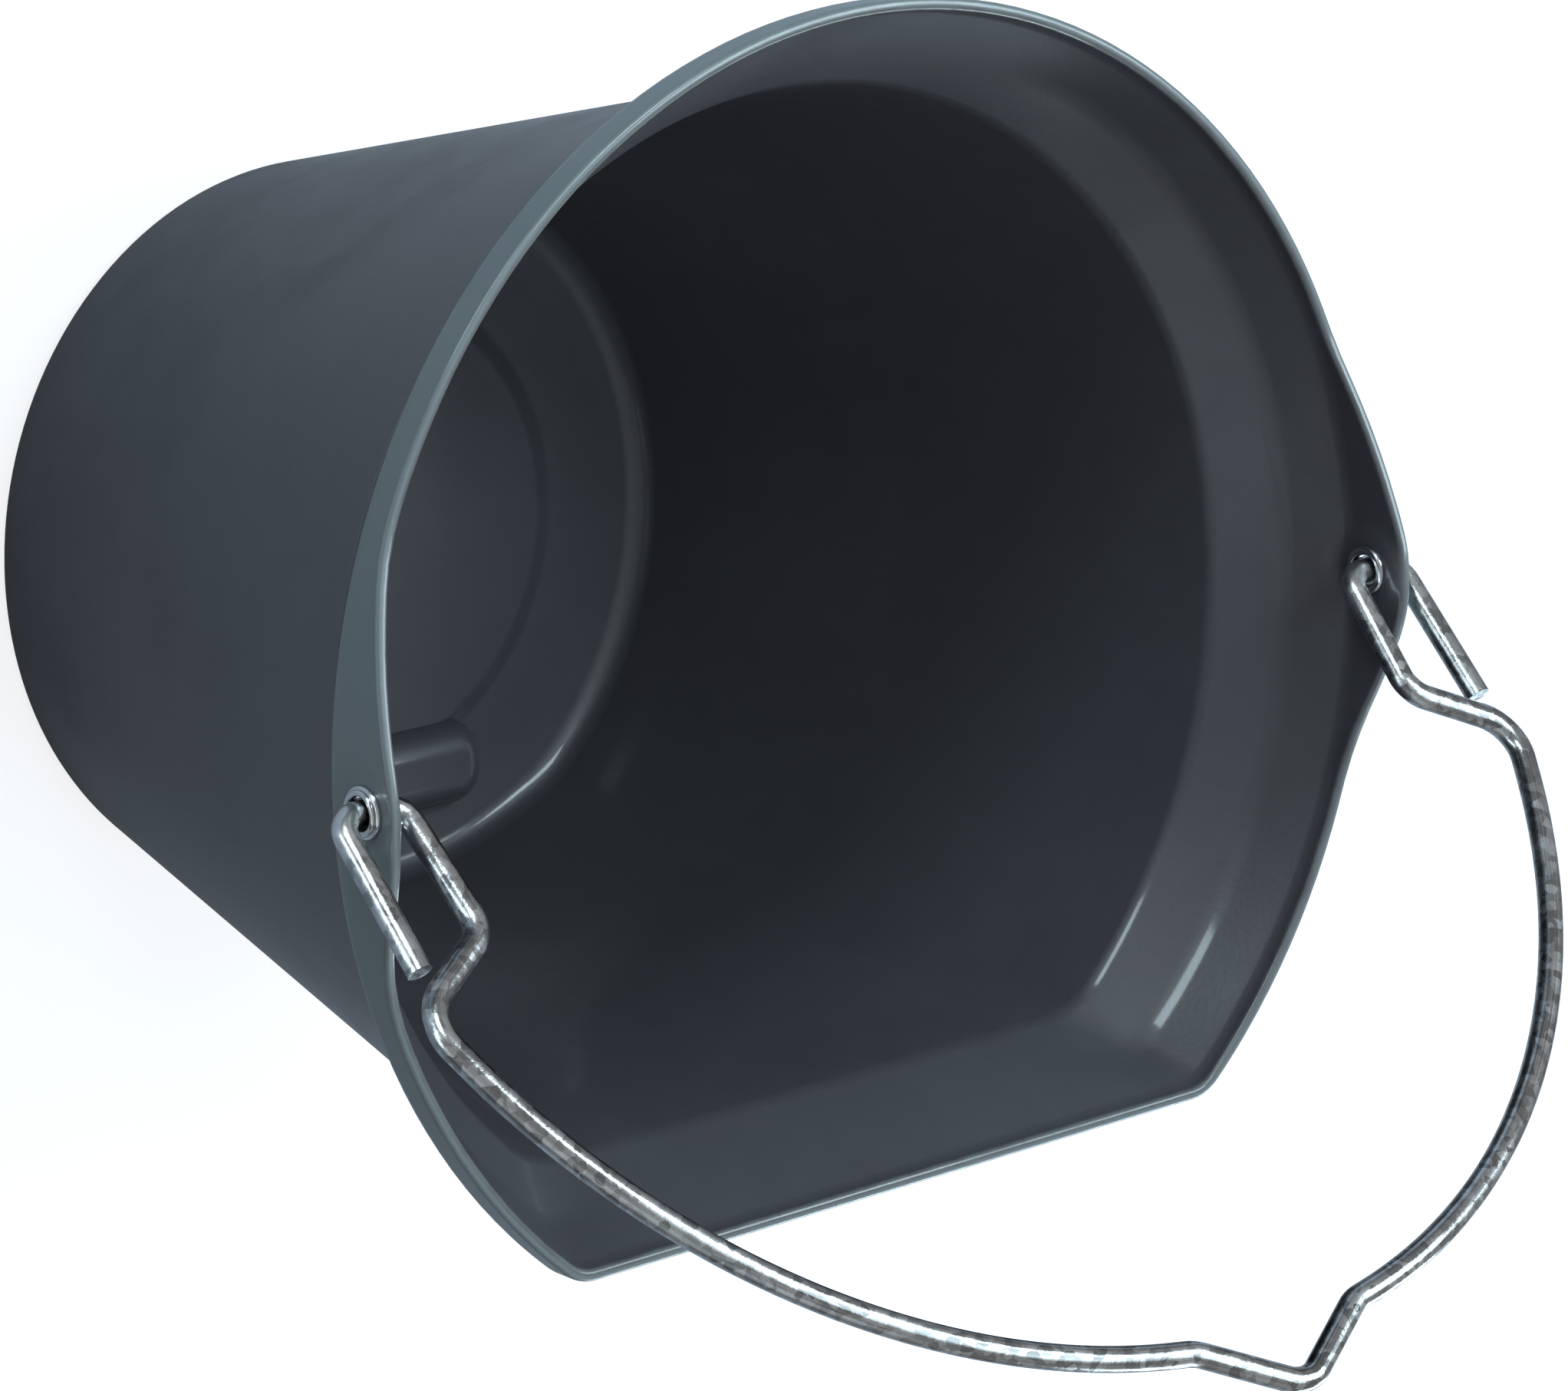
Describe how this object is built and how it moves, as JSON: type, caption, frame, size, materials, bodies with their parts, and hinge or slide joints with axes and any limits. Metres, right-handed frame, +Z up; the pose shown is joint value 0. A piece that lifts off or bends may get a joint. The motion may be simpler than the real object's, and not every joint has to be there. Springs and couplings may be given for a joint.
{
  "type": "flat-back bucket",
  "caption": "Tapered moulded bucket with a round base, flat rear wall, flared lip and raised eyeleted ears, carried by a swinging bent-wire bail with a hanging notch.",
  "frame": {"origin": "on the ground under the axis of the round mouth", "axes": "+Z up along the bucket's axis, flat back facing +Y, bail hinge along X, right side at +X"},
  "size_m": [0.3682, 0.3226, 0.3877],
  "materials": {
    "shell": "satin",
    "eyelets": "satin",
    "wire": "satin"
  },
  "bodies": {
    "bucket": {"bucket_shell": "shell", "right_eyelet": "eyelets", "left_eyelet": "eyelets", "right_washer": "eyelets", "left_washer": "eyelets"},
    "handle": {"bail": "wire"}
  },
  "joints": [
    {"name": "bail_swing", "type": "hinge", "parent": "bucket", "child": "handle", "pos_m": [0, 0, 0.2455], "axis": [1, 0, 0], "range_deg": [-37, 127]}
  ]
}
